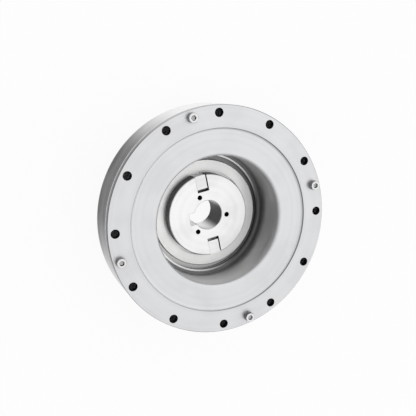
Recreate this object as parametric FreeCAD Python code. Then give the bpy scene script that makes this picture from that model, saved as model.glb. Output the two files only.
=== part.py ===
import FreeCAD, Part
import math
import os

# Hat-type strain-wave gear reducer with a crossed-roller output bearing, in millimetres.
# Z is the gear axis. Z = 0 is the rear (output) face, and the flange with the open mouth looks up.
# The thin flexspline is drawn as the wave generator bends it at rest: an oval whose long axis stands
# at WAVE_ANGLE from X, with its teeth in mesh with the circular spline at both ends.

# Outside, and the walls that the gear has to fit into
BODY_DIAMETER = 90.0
OUTER_RING_WALL = 10.0
SPLINE_INSET = 1.5
SPLINE_WALL = 7.0

# Gear mesh. Tooth heights are in modules, and the module follows from the wall that is left.
FLEX_TEETH = 100
RIGID_TEETH = FLEX_TEETH + 2
FLEX_ADDENDUM = 0.83
RIGID_ADDENDUM = 0.71
ROOT_CLEARANCE = 0.34
TOOTH_ROUNDING = 0.16
TOOTH_SHARE = 0.46
PRESSURE_ANGLE = 20.0

# Flexspline: flange, diaphragm and thin cup
FLANGE_THICKNESS = 2.5
RIM_WIDTH = 8.7
DIAPHRAGM_RECESS = 1.1
DIAPHRAGM_WALL = 0.7
MOUTH_RADIUS = 1.2
BEND_RADIUS = 1.2
TUBE_COLLAR = 0.5
TUBE_WALL = 0.5
RIM_WALL = 0.5
SEAT_STEP = 1.15
STEP_WEB = 0.7
CUP_SETBACK = 0.9
TOOTH_OVERHANG = 0.3
EDGE_CHAMFER = 0.3

# Flange bolt circle, with the small screws that hold the set together until it is bolted down
BOLT_EDGE_DISTANCE = 3.0
FLANGE_HOLE_DIAMETER = 3.5
FLANGE_HOLE_COUNT = 12
ASSEMBLY_SCREW_COUNT = 4
ASSEMBLY_SCREW_DIAMETER = 2.0
ASSEMBLY_HEAD_DIAMETER = 3.8
ASSEMBLY_HEAD_HEIGHT = 2.0
ASSEMBLY_SOCKET = 1.5
ASSEMBLY_SCREW_LENGTH = 6.0
SCREW_PLAY = 0.1
THREAD_PLAY = 0.03
TAP_SPARE = 0.8

# Crossed-roller bearing
OUTER_RING_WIDTH = 14.5
RING_SETBACK = 1.0
ROLLER_DIAMETER = 4.0
ROLLER_END_PLAY = 0.2
ROLLER_SPACING = 5.4
RACEWAY_PLAY = 0.1
RING_GAP = 0.8
INNER_RING_HEADROOM = 0.9
CUP_AIR = 1.0
SPACER_DIAMETER = 3.0
SPACER_PLAY = 0.12
FILL_PLUG_DIAMETER = 4.6
FILL_PLUG_ANGLE = -60.0
FILL_PIN_DIAMETER = 1.6
SEAL_WIDTH = 2.4
SEAL_HEIGHT = 3.4
SEAL_LIP = 0.5

# Circular spline and the output bolt circle
SPLINE_WIDTH = 9.0
SPLINE_RELIEF = 1.3
OUTPUT_HOLE_DIAMETER = 3.4
OUTPUT_HOLE_COUNT = 12
OUTPUT_TAP_DIAMETER = 2.5
OUTPUT_TAP_DEPTH = 5.0
SPLINE_SCREW_COUNT = 4
SPLINE_SCREW_DIAMETER = 2.5
SPLINE_HEAD_DIAMETER = 4.5
SPLINE_HEAD_HEIGHT = 2.5
SPLINE_SOCKET = 2.0
SPLINE_SCREW_LENGTH = 10.0
COUNTERBORE_SPARE = 0.4

# Flexible ball bearing of the wave generator
BEARING_FIT = 0.02
BEARING_WIDTH = 6.6
BEARING_SETBACK = 0.5
RACE_FLOOR = 0.9
RACE_CHAMFER = 0.4
RACE_RIM_WIDTH = 0.75
RACE_RIM_PROUD = 1.7
RACE_RIM_CHAMFER = 0.12
SHIELD_REACH = 0.8
SHIELD_WIDTH = 0.8
GROOVE_DEPTH = 0.9
BALL_DIAMETER = 3.97
BALL_SPACING = 5.7
BALL_PLAY = 0.06
SEPARATOR_WALL = 1.3
SEPARATOR_BASE = 1.0
POCKET_PLAY = 0.12

# Wave generator plug and the floating input coupling
WAVE_ANGLE = 67.25
COUPLING_LAG = 72.0
LIP_INSET = 2.17
LIP_FACE = 4.4
LIP_THICKNESS = 1.0
LIP_RELIEF = 0.4
PLUG_WALL = 1.5
HUB_GAP = 1.0
HUB_PROUD = 4.1
HUB_RUNNING_GAP = 0.2
HUB_CHAMFER = 0.3
SLEEVE_WALL = 3.0
SLEEVE_OVERHANG = 1.3
BORE_CHAMFER = 0.15
HUB_TAP_INSET = 2.1
HUB_TAP_DIAMETER = 2.05
HUB_TAP_DEPTH = 4.5
HUB_TAP_COUNT = 3
HUB_TAP_ANGLE = 105.0
FLOAT_TRAVEL = 0.4
FLOAT_SPARE = 0.3
INSERT_THICKNESS = 2.2
INSERT_WIDTH = 6.15
TONGUE_WIDTH = 4.4
TONGUE_DEPTH = 1.8
TONGUE_RECESS = 0.15
TONGUE_SIDE_GAP = 0.1
TONGUE_FAR_GAP = 0.5
TONGUE_INSET = 1.35
SLOT_END_ROOM = 0.85
WASHER_THICKNESS = 0.8
WASHER_PLAY = 0.1
SNAP_RING_THICKNESS = 0.8
SNAP_RING_WIDTH = 1.8
SNAP_GROOVE_DEPTH = 0.5
SNAP_RING_OPENING = 60.0

# Radii from the outside in: the bearing, the circular spline and the gear in it
body_radius = BODY_DIAMETER / 2
diaphragm_radius = body_radius - RIM_WIDTH
flange_pitch_radius = body_radius - BOLT_EDGE_DISTANCE
roller_pitch_radius = body_radius - OUTER_RING_WALL
roller_count = 2 * int(math.pi * roller_pitch_radius / ROLLER_SPACING)
roller_length = ROLLER_DIAMETER - ROLLER_END_PLAY
raceway_reach = (ROLLER_DIAMETER / 2 + RACEWAY_PLAY) * math.sqrt(2)
outer_land_radius = roller_pitch_radius + RING_GAP / 2
inner_land_radius = roller_pitch_radius - RING_GAP / 2
spline_radius = roller_pitch_radius - SPLINE_INSET
rigid_root_radius = spline_radius - SPLINE_WALL
output_pitch_radius = spline_radius - SPLINE_WALL / 2
module = rigid_root_radius / (RIGID_TEETH / 2 + FLEX_ADDENDUM + ROOT_CLEARANCE)
rigid_tip = RIGID_ADDENDUM * module
rigid_root = (FLEX_ADDENDUM + ROOT_CLEARANCE) * module
flex_tip = FLEX_ADDENDUM * module
flex_root = (RIGID_ADDENDUM + ROOT_CLEARANCE) * module

# The wave lifts the pitch line of the flexspline onto that of the circular spline
rigid_pitch_radius = module * RIGID_TEETH / 2
flex_pitch_radius = module * FLEX_TEETH / 2
wave_height = rigid_pitch_radius - flex_pitch_radius
seat_radius = flex_pitch_radius - flex_root - RIM_WALL
oval_share = wave_height / seat_radius
tube_inner_radius = seat_radius + SEAT_STEP
tube_outer_radius = tube_inner_radius + TUBE_WALL
inner_ring_bore_radius = tube_outer_radius + wave_height + CUP_AIR

# Radii of the flexible bearing, the plug and the coupling inside the cup
ball_radius = BALL_DIAMETER / 2
groove_radius = ball_radius + BALL_PLAY
ball_path_radius = seat_radius - BEARING_FIT - RACE_FLOOR - groove_radius
ball_count = int(2 * math.pi * ball_path_radius / BALL_SPACING)
race_bore_radius = ball_path_radius - groove_radius - RACE_FLOOR
plug_seat_radius = race_bore_radius - BEARING_FIT
pocket_radius = plug_seat_radius * (1 - oval_share) - PLUG_WALL
lip_radius = seat_radius - LIP_INSET
hub_radius = lip_radius - LIP_FACE - HUB_GAP
insert_radius = pocket_radius - FLOAT_TRAVEL - FLOAT_SPARE
insert_bore_radius = insert_radius - INSERT_WIDTH
tongue_root_radius = insert_bore_radius + TONGUE_INSET
sleeve_radius = insert_bore_radius - FLOAT_TRAVEL - FLOAT_SPARE
hub_bore_radius = sleeve_radius - SLEEVE_WALL
plug_bore_radius = sleeve_radius + math.sqrt(2) * FLOAT_TRAVEL + FLOAT_SPARE
washer_radius = (plug_bore_radius + pocket_radius) / 2

# Heights from the rear face
outer_ring_rear = SPLINE_WIDTH + RING_SETBACK
flange_rear = outer_ring_rear + OUTER_RING_WIDTH
front_face = flange_rear + FLANGE_THICKNESS
diaphragm_front = front_face - DIAPHRAGM_RECESS
diaphragm_rear = diaphragm_front - DIAPHRAGM_WALL
tube_top = diaphragm_front - max(MOUTH_RADIUS, DIAPHRAGM_WALL + BEND_RADIUS) - TUBE_COLLAR
inner_ring_top = flange_rear - INNER_RING_HEADROOM
raceway_height = (outer_ring_rear + flange_rear) / 2
tooth_top = SPLINE_WIDTH - SPLINE_RELIEF + TOOTH_OVERHANG
step_top = tooth_top + STEP_WEB
bearing_rear = CUP_SETBACK + BEARING_SETBACK
bearing_front = bearing_rear + BEARING_WIDTH
bearing_middle = (bearing_rear + bearing_front) / 2
plug_front = bearing_front + LIP_THICKNESS
hub_front = plug_front + HUB_PROUD
hub_rear = bearing_front + HUB_RUNNING_GAP
insert_rear = hub_rear - INSERT_THICKNESS
washer_front = bearing_rear + WASHER_THICKNESS + SNAP_RING_THICKNESS
sleeve_rear = bearing_rear - SLEEVE_OVERHANG

# Places of the screws round the two bolt circles
flange_hole_angles = [360 / FLANGE_HOLE_COUNT * (k + 0.5) for k in range(FLANGE_HOLE_COUNT)]
assembly_screw_angles = [360 / ASSEMBLY_SCREW_COUNT * k for k in range(ASSEMBLY_SCREW_COUNT)]
output_hole_angles = [360 / OUTPUT_HOLE_COUNT * k for k in range(OUTPUT_HOLE_COUNT)]
spline_screw_angles = [
    180 / OUTPUT_HOLE_COUNT + 360 / SPLINE_SCREW_COUNT * k for k in range(SPLINE_SCREW_COUNT)
]

ORIGIN = FreeCAD.Vector(0, 0, 0)
AXIS = FreeCAD.Vector(0, 0, 1)


def polar(radius, angle, height=0.0):
    """Point at a radius, an angle in degrees and a height."""
    turn = math.radians(angle)
    return FreeCAD.Vector(radius * math.cos(turn), radius * math.sin(turn), height)


def turned(start, *steps):
    """Solid of revolution about Z. A step is a (radius, height) point for a straight run,
    or a pair of them, through and end, for an arc."""
    edges = []
    here = polar(start[0], 0, start[1])
    for step in steps + (start,):
        if isinstance(step[0], tuple):
            through, end = (polar(r, 0, z) for r, z in step)
            edges.append(Part.Arc(here, through, end).toShape())
        else:
            end = polar(step[0], 0, step[1])
            edges.append(Part.LineSegment(here, end).toShape())
        here = end
    return Part.Face(Part.Wire(edges)).revolve(ORIGIN, AXIS, 360)


def corner(centre, radius, angle):
    """Point on a fillet arc in the radius-height plane, at an angle in degrees."""
    turn = math.radians(angle)
    return (centre[0] + radius * math.cos(turn), centre[1] + radius * math.sin(turn))


def ring(inner, outer, low, high, chamfer=0.0):
    """Turned ring, plain or with its two outer edges chamfered."""
    if not chamfer:
        return turned((inner, low), (outer, low), (outer, high), (inner, high))
    return turned(
        (inner, low),
        (outer - chamfer, low),
        (outer, low + chamfer),
        (outer, high - chamfer),
        (outer - chamfer, high),
        (inner, high),
    )


def rod(radius, low, high, place=ORIGIN):
    """Upright cylinder standing at a place."""
    return Part.makeCylinder(radius, high - low, place + FreeCAD.Vector(0, 0, low), AXIS)


def drills(radius, low, high, pitch_radius, angles):
    """Upright round cutters on a bolt circle."""
    return [rod(radius, low, high, polar(pitch_radius, angle)) for angle in angles]


def around(shape, angles):
    """Copies of a shape turned about the gear axis."""
    copies = []
    for angle in angles:
        copy = shape.copy()
        copy.rotate(ORIGIN, AXIS, angle)
        copies.append(copy)
    return copies


def at_rest(shape):
    """The shape turned with the wave generator to its angle at rest."""
    return around(shape, [WAVE_ANGLE])[0]


def coupled(shapes):
    """Shapes of the input coupling, set back from the long axis of the oval."""
    return [around(shape, [-COUPLING_LAG])[0] for shape in shapes]


def ovalled(shape):
    """A round shape stretched along X and narrowed along Y, as the plug bends the bearing."""
    stretch = FreeCAD.Matrix()
    stretch.A11 = 1 + oval_share
    stretch.A22 = 1 - oval_share
    return shape.transformGeometry(stretch)


def oval_wire(radius, height):
    """Oval that a circle of the flexspline is bent to by the wave."""
    oval = Part.Ellipse(
        FreeCAD.Vector(0, 0, height), radius + wave_height, radius - wave_height
    )
    return Part.Wire([oval.toShape()])


def circle_wire(radius, height):
    return Part.Wire([Part.makeCircle(radius, FreeCAD.Vector(0, 0, height), AXIS)])


def lofted(*wires):
    """Straight-sided solid through closed outlines, from the lowest to the highest."""
    return Part.makeLoft(list(wires), True, True)


def flex_tooth_point(tooth, across, height):
    """Point on a flexspline tooth, carried with the bent pitch line and standing square to it."""
    turn = 2 * math.pi * tooth / FLEX_TEETH
    lift = wave_height * math.cos(2 * turn)
    shift = -wave_height / 2 * math.sin(2 * turn)
    lean = 1.5 * wave_height * math.sin(2 * turn) / flex_pitch_radius
    outward = FreeCAD.Vector(math.cos(turn), math.sin(turn), 0)
    forward = FreeCAD.Vector(-math.sin(turn), math.cos(turn), 0)
    normal = outward * math.cos(lean) + forward * math.sin(lean)
    tangent = forward * math.cos(lean) - outward * math.sin(lean)
    foot = outward * (flex_pitch_radius + lift) + forward * shift
    return foot + normal * height + tangent * across


def rigid_tooth_point(tooth, across, height):
    """Point on a circular-spline tooth. A gap, not a tooth, lies on the long axis of the oval."""
    turn = 2 * math.pi * (tooth + 0.5) / RIGID_TEETH
    outward = FreeCAD.Vector(math.cos(turn), math.sin(turn), 0)
    forward = FreeCAD.Vector(-math.sin(turn), math.cos(turn), 0)
    return outward * (rigid_pitch_radius + height) + forward * across


def toothed_wire(count, point, tip, root):
    """Closed outline of straight-flanked teeth with rounded tips and roots.
    Heights are from the pitch line, and an inward tooth has a negative tip."""
    side = math.copysign(1.0, tip)
    slope = math.tan(math.radians(PRESSURE_ANGLE))
    rounding = TOOTH_ROUNDING * module
    tip_edge = tip - side * rounding
    root_edge = root + side * rounding

    def half_width(height):
        return math.pi * module * TOOTH_SHARE / 2 - side * height * slope

    edges = []
    for tooth in range(count):
        rise = point(tooth, -half_width(root_edge), root_edge)
        left = point(tooth, -half_width(tip_edge), tip_edge)
        right = point(tooth, half_width(tip_edge), tip_edge)
        fall = point(tooth, half_width(root_edge), root_edge)
        following = point((tooth + 1) % count, -half_width(root_edge), root_edge)
        edges.append(Part.LineSegment(rise, left).toShape())
        edges.append(Part.Arc(left, point(tooth, 0, tip), right).toShape())
        edges.append(Part.LineSegment(right, fall).toShape())
        edges.append(Part.Arc(fall, point(tooth + 0.5, 0, root), following).toShape())
    return Part.Wire(edges)


def socket_screw(diameter, length, head_diameter, head_height, socket):
    """Socket-head cap screw that stands on Z = 0 and points down, with a hexagon socket."""
    bevel = head_height / 10
    head = ring(0, head_diameter / 2, 0, head_height, bevel)
    shank = turned(
        (0, 0),
        (diameter / 2, 0),
        (diameter / 2, bevel - length),
        (diameter / 2 - bevel, -length),
        (0, -length),
    )
    hexagon = Part.makePolygon([polar(socket / math.sqrt(3), 60 * k) for k in range(7)])
    recess = Part.Face(hexagon).extrude(FreeCAD.Vector(0, 0, head_height / 2))
    recess.translate(FreeCAD.Vector(0, 0, head_height / 2))
    return head.fuse(shank).removeSplitter().cut(recess)


def flexspline_flange():
    """Bolting rim, thin diaphragm and the rolled mouth where the cup begins."""
    rim = body_radius
    step = diaphragm_radius
    mouth = (tube_inner_radius + MOUTH_RADIUS, diaphragm_front - MOUTH_RADIUS)
    bend = (tube_outer_radius + BEND_RADIUS, diaphragm_rear - BEND_RADIUS)
    recess = (step - DIAPHRAGM_RECESS, front_face)
    blank = turned(
        (step, flange_rear),
        (rim - EDGE_CHAMFER, flange_rear),
        (rim, flange_rear + EDGE_CHAMFER),
        (rim, front_face - EDGE_CHAMFER),
        (rim - EDGE_CHAMFER, front_face),
        (step, front_face),
        (corner(recess, DIAPHRAGM_RECESS, -45), corner(recess, DIAPHRAGM_RECESS, -90)),
        corner(mouth, MOUTH_RADIUS, 90),
        (corner(mouth, MOUTH_RADIUS, 135), corner(mouth, MOUTH_RADIUS, 180)),
        (tube_inner_radius, tube_top),
        (tube_outer_radius, tube_top),
        corner(bend, BEND_RADIUS, 180),
        (corner(bend, BEND_RADIUS, 135), corner(bend, BEND_RADIUS, 90)),
        (step, diaphragm_rear),
    )
    screw_hole = ASSEMBLY_SCREW_DIAMETER / 2 + SCREW_PLAY
    bolts = drills(FLANGE_HOLE_DIAMETER / 2, flange_rear, front_face, flange_pitch_radius, flange_hole_angles)
    screws = drills(screw_hole, flange_rear, front_face, flange_pitch_radius, assembly_screw_angles)
    return blank.cut(bolts + screws)


def flexspline_cup():
    """Thin tube, round at the diaphragm and oval at the teeth, with the toothed rim at its end."""
    teeth = toothed_wire(FLEX_TEETH, flex_tooth_point, flex_tip, -flex_root)
    teeth.translate(FreeCAD.Vector(0, 0, CUP_SETBACK))
    rim = Part.Face(teeth).extrude(FreeCAD.Vector(0, 0, tooth_top - CUP_SETBACK))
    tube = lofted(oval_wire(tube_outer_radius, tooth_top), circle_wire(tube_outer_radius, tube_top))
    seat = lofted(oval_wire(seat_radius, CUP_SETBACK), oval_wire(seat_radius, step_top))
    bore = lofted(oval_wire(tube_inner_radius, step_top), circle_wire(tube_inner_radius, tube_top))
    return at_rest(rim.fuse(tube).cut([seat, bore]))


def raceway(land, apex):
    """Turning steps of a V groove between two points of a land, from the bottom up."""
    reach = abs(apex - land)
    return (
        (land, raceway_height - reach),
        (apex, raceway_height),
        (land, raceway_height + reach),
    )


def fill_plug_blank(radius):
    """Radial cutter or plug through the outer ring, where the rollers are put in."""
    blank = Part.makeCylinder(
        radius, body_radius - roller_pitch_radius, FreeCAD.Vector(roller_pitch_radius, 0, raceway_height),
        FreeCAD.Vector(1, 0, 0),
    )
    return around(blank, [FILL_PLUG_ANGLE])[0]


def outer_ring_blank():
    """Outer bearing ring before its holes are drilled."""
    seal_seat = outer_land_radius + SEAL_HEIGHT
    return turned(
        (seal_seat, outer_ring_rear),
        (body_radius - EDGE_CHAMFER, outer_ring_rear),
        (body_radius, outer_ring_rear + EDGE_CHAMFER),
        (body_radius, flange_rear - EDGE_CHAMFER),
        (body_radius - EDGE_CHAMFER, flange_rear),
        (outer_land_radius, flange_rear),
        *reversed(raceway(outer_land_radius, roller_pitch_radius + raceway_reach)),
        (outer_land_radius, outer_ring_rear + SEAL_WIDTH),
        (seal_seat, outer_ring_rear + SEAL_WIDTH),
    )


def fill_pin(play=0.0):
    """Pin that locks the roller plug, pressed in from the rear face."""
    place = polar(flange_pitch_radius, FILL_PLUG_ANGLE)
    return rod(FILL_PIN_DIAMETER / 2 + play, outer_ring_rear, raceway_height, place)


def bearing_outer_ring():
    """Outer ring with its raceway, bolt holes, tapped holes and the roller filling hole."""
    tap_depth = ASSEMBLY_SCREW_LENGTH - FLANGE_THICKNESS + TAP_SPARE
    tap = ASSEMBLY_SCREW_DIAMETER / 2 + THREAD_PLAY
    bolt = FLANGE_HOLE_DIAMETER / 2
    cutters = drills(bolt, outer_ring_rear, flange_rear, flange_pitch_radius, flange_hole_angles)
    cutters += drills(tap, flange_rear - tap_depth, flange_rear, flange_pitch_radius, assembly_screw_angles)
    cutters.append(fill_plug_blank(FILL_PLUG_DIAMETER / 2 + THREAD_PLAY))
    cutters.append(fill_pin(THREAD_PLAY))
    return outer_ring_blank().cut(cutters)


def roller_fill_plug():
    """Plug that closes the filling hole and carries the raceway across it."""
    plug = fill_plug_blank(FILL_PLUG_DIAMETER / 2).common(outer_ring_blank())
    return plug.cut(fill_pin(THREAD_PLAY))


def assembly_screws():
    screw = socket_screw(
        ASSEMBLY_SCREW_DIAMETER, ASSEMBLY_SCREW_LENGTH, ASSEMBLY_HEAD_DIAMETER,
        ASSEMBLY_HEAD_HEIGHT, ASSEMBLY_SOCKET,
    )
    screw.translate(polar(flange_pitch_radius, 0, front_face))
    return Part.makeCompound(around(screw, assembly_screw_angles))


def bearing_seal():
    """Rubber lip seal in the rear of the outer ring, just clear of the turning inner ring."""
    seat = outer_land_radius + SEAL_HEIGHT - THREAD_PLAY
    web = outer_land_radius + SEAL_HEIGHT / 2
    lip = inner_land_radius + RACEWAY_PLAY
    rear = outer_ring_rear
    front = outer_ring_rear + SEAL_WIDTH
    return turned(
        (web, rear + SEAL_LIP),
        (lip, rear + SEAL_LIP / 2),
        (lip, rear),
        (seat, rear),
        (seat, front),
        (web, front),
    )


def bearing_inner_ring():
    """Inner ring of the output bearing, which the circular spline is screwed to."""
    rear = SPLINE_WIDTH
    blank = turned(
        (inner_ring_bore_radius, rear),
        (inner_land_radius - EDGE_CHAMFER, rear),
        (inner_land_radius, rear + EDGE_CHAMFER),
        *raceway(inner_land_radius, roller_pitch_radius - raceway_reach),
        (inner_land_radius, inner_ring_top - EDGE_CHAMFER),
        (inner_land_radius - EDGE_CHAMFER, inner_ring_top),
        (inner_ring_bore_radius, inner_ring_top),
    )
    screw_tap = SPLINE_SCREW_DIAMETER / 2 + THREAD_PLAY
    screw_depth = SPLINE_SCREW_LENGTH - (rear - SPLINE_HEAD_HEIGHT - COUNTERBORE_SPARE) + TAP_SPARE
    bolt_tap = OUTPUT_TAP_DIAMETER / 2
    taps = drills(bolt_tap, rear, rear + OUTPUT_TAP_DEPTH, output_pitch_radius, output_hole_angles)
    taps += drills(screw_tap, rear, rear + screw_depth, output_pitch_radius, spline_screw_angles)
    return blank.cut(taps)


def circular_spline():
    """Rigid ring with the internal teeth, and the output bolt circle in its wall."""
    teeth = at_rest(toothed_wire(RIGID_TEETH, rigid_tooth_point, -rigid_tip, rigid_root))
    bore = Part.Face(teeth).extrude(FreeCAD.Vector(0, 0, SPLINE_WIDTH))
    blank = ring(0, spline_radius, 0, SPLINE_WIDTH, EDGE_CHAMFER)
    head = SPLINE_HEAD_DIAMETER / 2 + SCREW_PLAY
    screw_hole = SPLINE_SCREW_DIAMETER / 2 + SCREW_PLAY
    head_room = SPLINE_HEAD_HEIGHT + COUNTERBORE_SPARE
    relief = rod(inner_ring_bore_radius, SPLINE_WIDTH - SPLINE_RELIEF, SPLINE_WIDTH)
    cutters = drills(OUTPUT_HOLE_DIAMETER / 2, 0, SPLINE_WIDTH, output_pitch_radius, output_hole_angles)
    cutters += drills(screw_hole, 0, SPLINE_WIDTH, output_pitch_radius, spline_screw_angles)
    cutters += drills(head, 0, head_room, output_pitch_radius, spline_screw_angles)
    return blank.cut(cutters + [bore, relief])


def spline_screws():
    screw = socket_screw(
        SPLINE_SCREW_DIAMETER, SPLINE_SCREW_LENGTH, SPLINE_HEAD_DIAMETER, SPLINE_HEAD_HEIGHT, SPLINE_SOCKET
    )
    screw.rotate(ORIGIN, FreeCAD.Vector(1, 0, 0), 180)
    screw.translate(polar(output_pitch_radius, 0, SPLINE_HEAD_HEIGHT + COUNTERBORE_SPARE))
    return Part.makeCompound(around(screw, spline_screw_angles))


def roller(diameter, length, lean):
    """One roller on the X axis, leaning in or out of the raceway."""
    body = Part.makeCylinder(diameter / 2, length, FreeCAD.Vector(0, 0, -length / 2), AXIS)
    body.rotate(ORIGIN, FreeCAD.Vector(0, 1, 0), lean)
    body.translate(polar(roller_pitch_radius, 0, raceway_height))
    return body


def crossed_rollers():
    """Rollers whose axes lean in and out of the raceway by turns."""
    step = 360 / roller_count
    rollers = []
    for k in range(roller_count):
        lean = 45 if k % 2 else -45
        rollers += around(roller(ROLLER_DIAMETER, roller_length, lean), [step * k])
    return Part.makeCompound(rollers)


def roller_spacers():
    """Saddle-shaped spacers, hollowed on each side for the roller that lies there."""
    step = 360 / roller_count
    chord = 2 * roller_pitch_radius * math.sin(math.radians(step / 2))
    bar = Part.makeCylinder(
        SPACER_DIAMETER / 2, chord, FreeCAD.Vector(roller_pitch_radius, -chord / 2, raceway_height),
        FreeCAD.Vector(0, 1, 0),
    )
    spacers = []
    for first in (0, 1):
        leans = (-45, 45) if first == 0 else (45, -45)
        sides = zip(leans, (-step / 2, step / 2))
        hollows = []
        for lean, angle in sides:
            seat = roller(ROLLER_DIAMETER + 2 * SPACER_PLAY, 2 * roller_length, lean)
            hollows += around(seat, [angle])
        spacer = bar.cut(hollows)
        spacers += around(spacer, [step * (k + 0.5) for k in range(first, roller_count, 2)])
    return Part.makeCompound(spacers)


def race(wall, shoulder):
    """Round race with a ball groove turned into its shoulder side, before it is bent oval."""
    outwards = math.copysign(1.0, wall - shoulder)
    reach = abs(shoulder - ball_path_radius)
    half_mouth = math.sqrt(groove_radius**2 - reach**2)
    corner_in = wall - outwards * RACE_CHAMFER
    return turned(
        (shoulder, bearing_rear),
        (corner_in, bearing_rear),
        (wall, bearing_rear + RACE_CHAMFER),
        (wall, bearing_front - RACE_CHAMFER),
        (corner_in, bearing_front),
        (shoulder, bearing_front),
        (shoulder, bearing_middle + half_mouth),
        (
            (ball_path_radius + outwards * groove_radius, bearing_middle),
            (shoulder, bearing_middle - half_mouth),
        ),
    )


def flex_bearing_outer_race():
    """Outer race with a shield in front of the balls and a thin rim that stands proud of it."""
    wall = seat_radius - BEARING_FIT
    shoulder = wall - RACE_FLOOR - GROOVE_DEPTH
    rim_low = bearing_front - 2 * RACE_CHAMFER
    rim_high = bearing_front + RACE_RIM_PROUD
    rim = ring(wall - RACE_RIM_WIDTH, wall, rim_low, rim_high - RACE_RIM_CHAMFER)
    edge = ring(
        wall - RACE_RIM_WIDTH, wall, rim_high - 3 * RACE_RIM_CHAMFER, rim_high, RACE_RIM_CHAMFER
    )
    shield = ring(
        shoulder - SHIELD_REACH, wall - RACE_RIM_WIDTH, bearing_front - SHIELD_WIDTH, bearing_front
    )
    return at_rest(ovalled(race(wall, shoulder).fuse([rim, edge, shield]).removeSplitter()))


def flex_bearing_inner_race():
    return at_rest(ovalled(race(race_bore_radius, race_bore_radius + RACE_FLOOR + GROOVE_DEPTH)))


def ball_places():
    """Ball centres on the oval path between the two races."""
    places = []
    for k in range(ball_count):
        round_place = polar(ball_path_radius, 360 / ball_count * k, bearing_middle)
        places.append(
            FreeCAD.Vector(round_place.x * (1 + oval_share), round_place.y * (1 - oval_share), round_place.z)
        )
    return places


def flex_bearing_balls():
    balls = [Part.makeSphere(ball_radius, place) for place in ball_places()]
    return at_rest(Part.makeCompound(balls))


def ball_separator():
    """Crown cage: a ring behind the balls with horns that reach between them."""
    inner = ball_path_radius - SEPARATOR_WALL / 2
    outer = ball_path_radius + SEPARATOR_WALL / 2
    pocket = ball_radius + POCKET_PLAY
    low = bearing_middle - pocket - SEPARATOR_BASE
    band = ovalled(ring(inner, outer, low, bearing_middle + pocket / 2))
    return at_rest(band.cut([Part.makeSphere(pocket, place) for place in ball_places()]))


def tongue(width, root, reach, low, high, limit):
    """Pair of straight tongues along Y, rounded off at the ends by a turned limit."""
    bars = []
    for near in (root, -reach):
        bar = Part.makeBox(width, reach - root, high - low, FreeCAD.Vector(-width / 2, near, low))
        bars.append(bar.common(rod(limit, low, high)))
    return bars


def quarter(shapes):
    """Shapes turned by a right angle, from the Y axis to the X axis."""
    return [around(shape, [90])[0] for shape in shapes]


def wave_generator_plug():
    """Oval cam that bends the bearing, with a lip in front of it and a pocket for the coupling."""
    seat = ovalled(rod(plug_seat_radius, bearing_rear, bearing_front))
    shoulder = (race_bore_radius + RACE_FLOOR + GROOVE_DEPTH) * (1 - oval_share)
    lip = turned(
        (0, bearing_front),
        (shoulder, bearing_front),
        (shoulder + LIP_RELIEF, bearing_front + LIP_RELIEF),
        (lip_radius, bearing_front + LIP_RELIEF),
        (lip_radius, plug_front - HUB_CHAMFER),
        (lip_radius - HUB_CHAMFER, plug_front),
        (0, plug_front),
    )
    slot_reach = insert_radius + FLOAT_TRAVEL + FLOAT_SPARE
    slot_root = tongue_root_radius - FLOAT_TRAVEL - FLOAT_SPARE
    slot_width = TONGUE_WIDTH + 2 * TONGUE_SIDE_GAP
    slot_floor = insert_rear - TONGUE_DEPTH - TONGUE_SIDE_GAP
    slots = tongue(slot_width, slot_root, slot_reach, slot_floor, insert_rear, pocket_radius)
    washer_room = washer_radius + 2 * FLOAT_TRAVEL + FLOAT_SPARE
    cutters = [
        rod(hub_radius + HUB_GAP, bearing_front, plug_front),
        rod(pocket_radius, insert_rear, bearing_front),
        rod(plug_bore_radius, bearing_rear, insert_rear),
        rod(washer_room, bearing_rear, washer_front),
    ]
    return at_rest(seat.fuse(lip).cut(cutters + coupled(quarter(slots))))


def coupling_insert():
    """Floating middle piece: two tongues forward in the hub, two rearward in the plug.
    It rests towards one side of its play, as a coupling that isn't loaded does."""
    forward = tongue(
        TONGUE_WIDTH, tongue_root_radius, hub_radius, hub_rear, hub_front - TONGUE_RECESS,
        hub_radius - TONGUE_RECESS,
    )
    floor = insert_rear - TONGUE_DEPTH
    rearward = tongue(TONGUE_WIDTH, tongue_root_radius, insert_radius, floor, insert_rear, insert_radius)
    body = ring(insert_bore_radius, insert_radius, insert_rear, hub_rear)
    insert = body.fuse(forward + quarter(rearward)).removeSplitter()
    insert.translate(FreeCAD.Vector((TONGUE_SIDE_GAP - TONGUE_FAR_GAP) / 2, 0, 0))
    return at_rest(coupled([insert])[0])


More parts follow.
